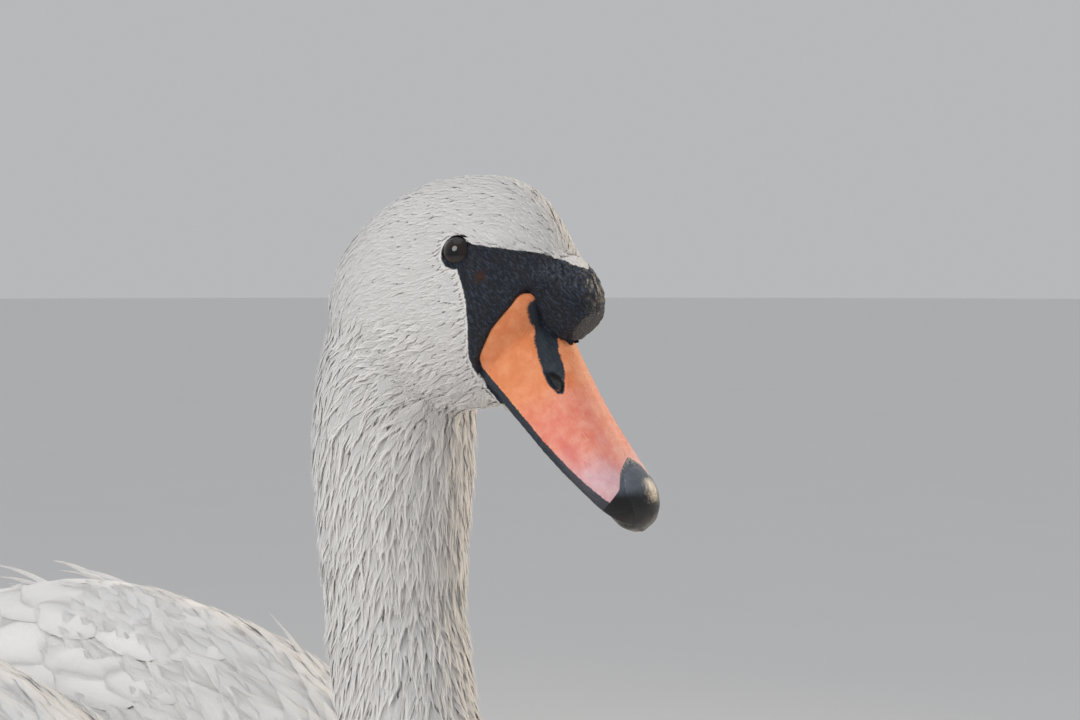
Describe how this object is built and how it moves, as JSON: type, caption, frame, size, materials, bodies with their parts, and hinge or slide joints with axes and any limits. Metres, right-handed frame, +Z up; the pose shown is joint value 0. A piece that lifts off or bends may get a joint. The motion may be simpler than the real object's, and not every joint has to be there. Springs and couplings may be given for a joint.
{
  "type": "mute swan",
  "caption": "Life-size mute swan cob standing with its neck in a relaxed S, head turned a little, wings slightly arched.",
  "frame": {"origin": "on the floor under the middle of the bird's overall box", "axes": "+X the way the body faces, +Y the bird's left, +Z up"},
  "size_m": [0.8408, 0.3196, 0.7487],
  "materials": {
    "plumage": "soft white feathers",
    "skin_black": "bare blue-black skin, wrinkled, half-matt",
    "bill": "orange to pink horn, satin",
    "nail": "black horn, glossy",
    "eye": "dark brown, wet and glossy",
    "foot": "blackish scaly skin, half-matt"
  },
  "bodies": {
    "root": {"bill_knob": "skin_black", "bill_lower": "skin_black", "bill_nail": "nail", "bill_upper": "bill", "eye_left": "eye", "eye_right": "eye", "foot_left": "foot", "foot_right": "foot", "head": "plumage", "leg_left": "foot", "leg_right": "foot", "neck_lower": "plumage", "neck_middle": "plumage", "neck_upper": "plumage", "tail": "plumage", "thigh_left": "plumage", "thigh_right": "plumage", "trunk": "plumage", "wing_left": "plumage", "wing_right": "plumage", "wing_tip_left": "plumage", "wing_tip_right": "plumage"}
  },
  "joints": []
}
